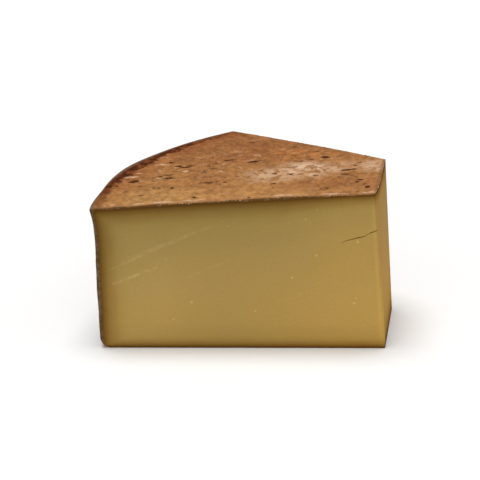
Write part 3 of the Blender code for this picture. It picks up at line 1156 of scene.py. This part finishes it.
    # The rind's own thickness shows as a thin brown line round the cuts, paler where it has
    # crumbled, and greyer beside the heel
    thin = recipe.range(depth, 1.9 * MM, 0.9 * MM)
    crumbled = recipe.range(recipe.noise(0.0075, 4.0, 0.62, (0.5, 0.2, 0.9)), 0.50, 0.64)
    section = recipe.blend(crumbled, (0.135, 0.066, 0.020), (0.245, 0.145, 0.062))
    colour = recipe.blend(recipe.times(thin, 0.85), colour, section)
    heel_side = recipe.range(where["heel"], 3.4 * MM, 1.4 * MM, 0.0, 0.75)
    heel_tone = recipe.range(recipe.noise(0.004, 3.0, 0.6, (0.2, 0.2, 0.7)), 0.4, 0.62)
    heel_section = recipe.blend(heel_tone, (0.10, 0.068, 0.032), (0.19, 0.135, 0.08))
    colour = recipe.blend(heel_side, colour, heel_section)

    # Two mould spots and a brown end on the far corner of the tip cut
    along = recipe.plus(from_back, from_tip)
    blotchy = recipe.times_plus(recipe.noise(0.0045, 4.0, 0.65, (0.1, 0.8, 0.6)), 1.6, -0.8)
    for height, half_height, away, half_width, strength in STAINS:
        off = recipe.off_oval(where["z"], height, half_height, along, away, half_width)
        stain = recipe.range(recipe.plus(off, blotchy), 1.2, 0.5, 0.0, strength)
        colour = recipe.blend(stain, colour, (0.115, 0.072, 0.026))

    roughness = recipe.range(recipe.noise(0.02, 3.0), 0.3, 0.7, 0.55, 0.65)
    recipe.shader.inputs["Subsurface Weight"].default_value = 0.12
    recipe.shader.inputs["Subsurface Radius"].default_value = (1.0, 0.55, 0.2)
    recipe.shader.inputs["Subsurface Scale"].default_value = 6.0 * MM

    # Faint waves of the knife, grain, the knife lines and the crumbled rind line
    waves = recipe.noise(0.03, 1.0, 0.4, (0.9, 0.4, 0.1))
    normal = recipe.bump(waves, 0.5 * MM, 0.5)
    normal = recipe.bump(recipe.noise(0.0011, 2.0), 0.05 * MM, 0.5, normal)
    normal = recipe.bump(lines, 0.08 * MM, 0.6, normal)
    normal = recipe.bump(recipe.times(thin, crumbled), 0.3 * MM, 0.8, normal)
    return recipe.finish(colour, roughness, 0.0, normal)


def rind_material(sizes, look):
    """Dry rind: tan and russet, flecked and scarred, with a dark rim and pale bloom."""
    recipe = Recipe("dry rind")
    where = wheel_depths(recipe, sizes)
    top = recipe.attribute("top")
    scar = recipe.attribute("scar")

    def patch(centre_x, centre_y, half_x, half_y, strength):
        """A soft oval, placed in millimetres from the axis."""
        off = recipe.off_oval(where["x"], centre_x, half_x, where["y"], centre_y, half_y)
        return recipe.range(off, 1.3, 0.3, 0.0, strength)

    # Tan, redder in clouds, towards the back cut and in patches near the tip, golden near the
    # lip's front end, with orange streaks at the back
    cloudy = recipe.range(recipe.noise(0.038, 3.0, 0.55, (0.2, 0.5, 0.0)), 0.42, 0.66, 0.0, 0.45)
    farther = recipe.range(where["y"], 45.0 * MM, 190.0 * MM, 0.0, 0.55)
    reddish = recipe.plus(patch(-153.0, 36.0, 34.0, 22.0, 0.5), patch(-120.0, 45.0, 44.0, 50.0, 0.4))
    russet = recipe.plus(recipe.plus(cloudy, farther), reddish, clamp=True)
    colour = recipe.blend(russet, tuple(look.tan), tuple(look.russet))
    colour = recipe.blend(patch(-282.0, 24.0, 44.0, 30.0, 0.5), colour, tuple(look.gold))
    streaks = recipe.range(recipe.noise(0.012, 3.0, 0.6, (0.9, 0.9, 0.3)), 0.42, 0.62)
    orange = recipe.times(patch(-165.0, 138.0, 42.0, 20.0, 0.65), streaks)
    colour = recipe.blend(orange, colour, tuple(look.orange))

    # Mottled, with dark and pale flecks. A little lighter behind the front cut and by the tip
    broad = recipe.range(recipe.noise(0.017, 3.0, 0.55, (0.4, 0.0, 0.7)), 0.3, 0.7, 0.90, 1.10)
    colour = recipe.tint(1.0, colour, recipe.grey(broad))
    inside = recipe.range(where["radius"], 290.0 * MM, 240.0 * MM, 0.25, 1.0)
    lighter = recipe.times(recipe.range(where["y"], 62.0 * MM, 34.0 * MM), inside)
    lighter = recipe.math("MAXIMUM", lighter, recipe.range(where["radius"], 190.0 * MM, 150.0 * MM))
    colour = recipe.tint(lighter, colour, (1.08, 1.11, 1.12))
    mottle = recipe.range(recipe.long_noise(0.0050, 5.0, 0.66, (0.1, 0.3, 0.6)), 0.34, 0.66, 0.76, 1.18)
    colour = recipe.tint(1.0, colour, recipe.grey(mottle))
    flecks = recipe.range(recipe.long_noise(0.0040, 4.0, 0.62, (0.8, 0.0, 0.4)), 0.58, 0.66)
    patchy = recipe.range(recipe.noise(0.03, 2.0, 0.5, (0.2, 0.8, 0.4)), 0.40, 0.62, 0.15, 0.75)
    cleaner = recipe.range(where["y"], 18.0 * MM, 50.0 * MM, 0.3, 1.0)
    flecks = recipe.times(flecks, recipe.times(patchy, cleaner))
    colour = recipe.blend(flecks, colour, tuple(look.dark))
    light = recipe.range(recipe.long_noise(0.0052, 4.0, 0.65, (0.0, 0.9, 0.2)), 0.55, 0.68)
    fewer = recipe.range(where["y"], 30.0 * MM, 120.0 * MM, 0.10, 0.30)
    fewer = recipe.times(fewer, recipe.range(where["y"], 140.0 * MM, 190.0 * MM, 1.0, 0.3))
    colour = recipe.blend(recipe.times(light, fewer), colour, tuple(look.pale))

    # The bloom: one large whitish patch that thins out towards the tip
    bloom = None
    for oval in BLOOM:
        mask = patch(*oval)
        bloom = mask if bloom is None else recipe.math("MAXIMUM", bloom, mask)
    dusty = recipe.range(recipe.long_noise(0.0070, 5.0, 0.72, (0.6, 0.6, 0.1)), 0.36, 0.58)
    bloom = recipe.times(bloom, recipe.times(dusty, top))
    colour = recipe.blend(recipe.times(bloom, 0.9), colour, tuple(look.pale))

    # A dark, broken band runs along inside the lip, with redder rind inside it
    from_lip = recipe.minus(sizes.wheel_radius, where["radius"])
    uneven = recipe.long_noise(0.0095, 4.0, 0.66, (0.4, 0.2, 0.3))
    uneven = recipe.times_plus(uneven, 26.0 * MM, -13.0 * MM)
    band = recipe.range(recipe.plus(from_lip, uneven), 14.0 * MM, 9.0 * MM)
    coming = recipe.range(where["y"], 15.0 * MM, 70.0 * MM, 0.5, 1.0)
    going = recipe.range(where["y"], 185.0 * MM, 238.0 * MM, 1.0, 0.6)
    band = recipe.times(recipe.times(band, coming), recipe.times(top, going))
    spotted = recipe.range(recipe.long_noise(0.0048, 3.0, 0.6, (0.7, 0.6, 0.1)), 0.38, 0.56)
    glow = recipe.times(recipe.range(from_lip, 40.0 * MM, 14.0 * MM, 0.0, 0.55), coming)
    colour = recipe.tint(glow, colour, (0.90, 0.72, 0.66))
    band_colour = recipe.blend(spotted, (0.195, 0.054, 0.015), (0.062, 0.014, 0.003))
    colour = recipe.blend(recipe.times(band, 0.98), colour, band_colour)

    # Scuffs and painted highlights on lit lips, scars and the torn edge
    flaked = recipe.range(recipe.noise(0.0028, 3.0, 0.6, (0.5, 0.3, 0.1)), 0.38, 0.60, 0.15, 0.9)
    colour = recipe.blend(recipe.times(recipe.attribute("pale"), flaked), colour, tuple(look.pale))
    colour = recipe.blend(recipe.times(scar, 0.95), colour, tuple(look.pit))
    torn = recipe.times(recipe.attribute("rag"), 0.6)
    colour = recipe.blend(torn, colour, tuple(look.pale))

    # Beside the front cut and the tip cut the rind turns darker brown at its edge, with pale crumbs behind
    wander = recipe.times_plus(recipe.noise(0.006, 4.0, 0.65, (0.2, 0.4, 0.9)), 7.0 * MM, -3.5 * MM)
    from_front = recipe.plus(where["y"], wander)
    from_tip = recipe.times_plus(where["x"], -0.995, -0.995 * sizes.front_tip)
    from_tip = recipe.times_plus(where["y"], TIP_SLANT, from_tip)
    from_tip = recipe.plus(from_tip, recipe.times(wander, 0.5))
    crumbly = recipe.range(recipe.noise(0.011, 3.0, 0.6, (0.6, 0.1, 0.5)), 0.46, 0.58, 0.0, 0.65)
    behind = recipe.range(recipe.away_from(from_front, 6.5 * MM), 3.2 * MM, 1.0 * MM)
    colour = recipe.blend(recipe.times(behind, crumbly), colour, tuple(look.pale))
    brink = recipe.range(recipe.math("MINIMUM", from_front, from_tip), 4.2 * MM, 1.2 * MM, 0.0, 0.7)
    colour = recipe.blend(recipe.times(brink, top), colour, (0.20, 0.095, 0.038))
    lip = recipe.times(recipe.range(from_lip, 4.4 * MM, 2.0 * MM), 0.85)
    colour = recipe.blend(lip, colour, (0.165, 0.10, 0.06))

    # Heel and bottom: browner and greyer, with pale dust
    dust = recipe.range(recipe.noise(0.009, 5.0, 0.68, (0.3, 0.8, 0.5)), 0.54, 0.70)
    heel_tone = recipe.range(recipe.noise(0.02, 4.0, 0.6, (0.7, 0.1, 0.2)), 0.3, 0.7, 0.7, 1.35)
    heel = recipe.tint(1.0, tuple(look.heel), recipe.grey(heel_tone))
    heel = recipe.blend(recipe.times(dust, 0.5), heel, (0.38, 0.29, 0.20))
    heel = recipe.blend(recipe.times(scar, 0.6), heel, tuple(look.pit))
    colour = recipe.blend(top, heel, colour)

    roughness = recipe.range(recipe.noise(0.004, 3.0), 0.3, 0.7, 0.68, 0.9)
    normal = recipe.bump(recipe.long_noise(0.0050, 5.0, 0.66, (0.1, 0.3, 0.6)), 0.45 * MM, 0.5)
    normal = recipe.bump(recipe.noise(0.0014, 3.0, 0.6), 0.15 * MM, 0.6, normal)
    return recipe.finish(colour, roughness, 0.03, normal)


def crumb_material(look):
    """Dry crumbs: the rind's pale, dusty broken edge, some of it browned."""
    recipe = Recipe("rind crumbs")
    browned = recipe.range(recipe.noise(0.0035, 3.0, 0.6, (0.2, 0.4, 0.1)), 0.45, 0.62)
    colour = recipe.blend(browned, tuple(look.pale), tuple(look.tan))
    fine = recipe.range(recipe.noise(0.0007, 2.0, 0.6), 0.3, 0.7, 0.85, 1.12)
    colour = recipe.tint(1.0, colour, recipe.grey(fine))
    roughness = recipe.range(fine, 0.85, 1.12, 0.8, 0.95)
    normal = recipe.bump(recipe.noise(0.0006, 3.0, 0.6), 0.1 * MM, 0.6)
    return recipe.finish(colour, roughness, 0.25, normal)


# Operators


class CHEESE_OT_wedge(bpy.types.Operator):
    """Spin the wheel's section, cut the wedge from it, weather its rind and open its crack"""

    bl_idname = "cheese.wedge"
    bl_label = "Make Wedge"

    def execute(self, context):
        scene = context.scene
        sizes = scene.cheese_sizes
        wedge = wheel_section(sizes)
        wedge.name = "cheese_piece"
        cut_wedge(wedge, sizes)
        weather_rind(wedge, sizes, scene.cheese_rind)
        cut_crack(wedge)
        wedge.data.materials.append(paste_material(sizes, scene.cheese_paste))
        wedge.data.materials.append(rind_material(sizes, scene.cheese_rind))
        share_out_materials(wedge, sizes)
        pick(wedge)
        bpy.ops.object.shade_smooth_by_angle(angle=math.radians(42.0))
        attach(wedge, BODY)
        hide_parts(NODE)
        return {"FINISHED"}


class CHEESE_OT_crumbs(bpy.types.Operator):
    """Scatter crumbs of rind along the torn top edges"""

    bl_idname = "cheese.crumbs"
    bl_label = "Make Crumbs"

    def execute(self, context):
        scene = context.scene
        crumbs = make_crumbs(bpy.data.objects["cheese_piece"], scene.cheese_sizes, scene.cheese_rind)
        crumbs.data.materials.clear()
        crumbs.data.materials.append(crumb_material(scene.cheese_rind))
        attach(crumbs, BODY)
        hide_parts(NODE)
        return {"FINISHED"}


class CHEESE_OT_stage(bpy.types.Operator):
    """Set the pale floor, the soft light and the camera"""

    bl_idname = "cheese.stage"
    bl_label = "Set Stage"

    def execute(self, context):
        scene = context.scene
        setup = scene.cheese_stage

        deselect_all()
        bpy.ops.mesh.primitive_circle_add(
            vertices=96, radius=setup.floor_radius, fill_type="NGON", location=(0.0, 0.0, -0.2 * MM)
        )
        floor = context.object
        floor.name = "pale_floor"
        bpy.ops.object.transform_apply(location=True, rotation=False, scale=False)
        recipe = Recipe("pale floor")
        tone = recipe.range(recipe.noise(0.4, 2.0), 0.3, 0.7, 0.895, 0.905)
        floor.data.materials.append(recipe.finish(recipe.grey(tone), 0.9, 0.1))

        # The camera stands in front of the cut, a little above it
        target = axis_place() + LOOKED_AT
        level = setup.distance * math.cos(setup.elevation)
        offset = Vector((
            level * math.sin(setup.azimuth),
            -level * math.cos(setup.azimuth),
            setup.distance * math.sin(setup.elevation),
        ))
        bpy.ops.object.camera_add(location=target + offset)
        camera = context.object
        camera.name = "photo_camera"
        camera.rotation_euler = (-offset).to_track_quat("-Z", "Y").to_euler()
        camera.data.lens = setup.lens
        camera.data.sensor_width = 36.0
        camera.data.clip_end = 50.0
        scene.camera = camera

        # Two wide soft lights: one high up and a little behind on the left, one in front
        for name, energy, spread, toward in (
            ("high_light", 2.45, 38.0, (-0.09, 0.11, 1.0)),
            ("front_light", 0.75, 70.0, (-0.15, -1.0, 0.45)),
        ):
            bpy.ops.object.light_add(type="SUN", location=toward)
            light = context.object
            light.name = name
            light.data.energy = energy
            light.data.angle = math.radians(spread)
            light.rotation_euler = Vector(toward).to_track_quat("Z", "Y").to_euler()

        world = bpy.data.worlds.new("white studio")
        world.use_nodes = True
        scene.world = world
        nodes = world.node_tree.nodes
        links = world.node_tree.links
        nodes.clear()
        mix = nodes.new("ShaderNodeMixShader")
        links.new(nodes.new("ShaderNodeLightPath").outputs["Is Camera Ray"], mix.inputs[0])
        # Soft light all round, and a white backdrop where the camera sees past the floor
        for socket, strength in ((mix.inputs[1], 0.28), (mix.inputs[2], 1.1)):
            background = nodes.new("ShaderNodeBackground")
            background.inputs["Color"].default_value = (1.0, 1.0, 1.0, 1.0)
            background.inputs["Strength"].default_value = strength
            links.new(background.outputs[0], socket)
        links.new(mix.outputs[0], nodes.new("ShaderNodeOutputWorld").inputs[0])

        scene.view_settings.view_transform = "Standard"
        scene.view_settings.look = "None"
        scene.view_settings.exposure = 0.0
        scene.view_settings.gamma = 1.0
        return {"FINISHED"}


class CHEESE_PT_panel(bpy.types.Panel):
    """Lists the steps that make the cheese"""

    bl_idname = "CHEESE_PT_panel"
    bl_label = "Cheese Wedge"
    bl_space_type = "VIEW_3D"
    bl_region_type = "UI"
    bl_category = "Cheese"

    def draw(self, context):
        layout = self.layout
        for group in (context.scene.cheese_sizes, context.scene.cheese_rind,
                      context.scene.cheese_paste, context.scene.cheese_stage):
            box = layout.box()
            for name in group.bl_rna.properties.keys():
                if name not in ("rna_type", "name"):
                    box.prop(group, name)
        layout.operator("cheese.wedge")
        layout.operator("cheese.crumbs")
        layout.operator("cheese.stage")


CLASSES = (
    WedgeSizes, RindLook, PasteLook, StageSetup,
    CHEESE_OT_wedge, CHEESE_OT_crumbs, CHEESE_OT_stage, CHEESE_PT_panel,
)


def register():
    for item in CLASSES:
        bpy.utils.register_class(item)
    bpy.types.Scene.cheese_sizes = PointerProperty(type=WedgeSizes)
    bpy.types.Scene.cheese_rind = PointerProperty(type=RindLook)
    bpy.types.Scene.cheese_paste = PointerProperty(type=PasteLook)
    bpy.types.Scene.cheese_stage = PointerProperty(type=StageSetup)


def unregister():
    for name in ("cheese_sizes", "cheese_rind", "cheese_paste", "cheese_stage"):
        delattr(bpy.types.Scene, name)
    for item in reversed(CLASSES):
        bpy.utils.unregister_class(item)


def main():
    register()
    bpy.ops.cheese.wedge()
    bpy.ops.cheese.crumbs()
    bpy.ops.cheese.stage()


if __name__ == "__main__":
    main()
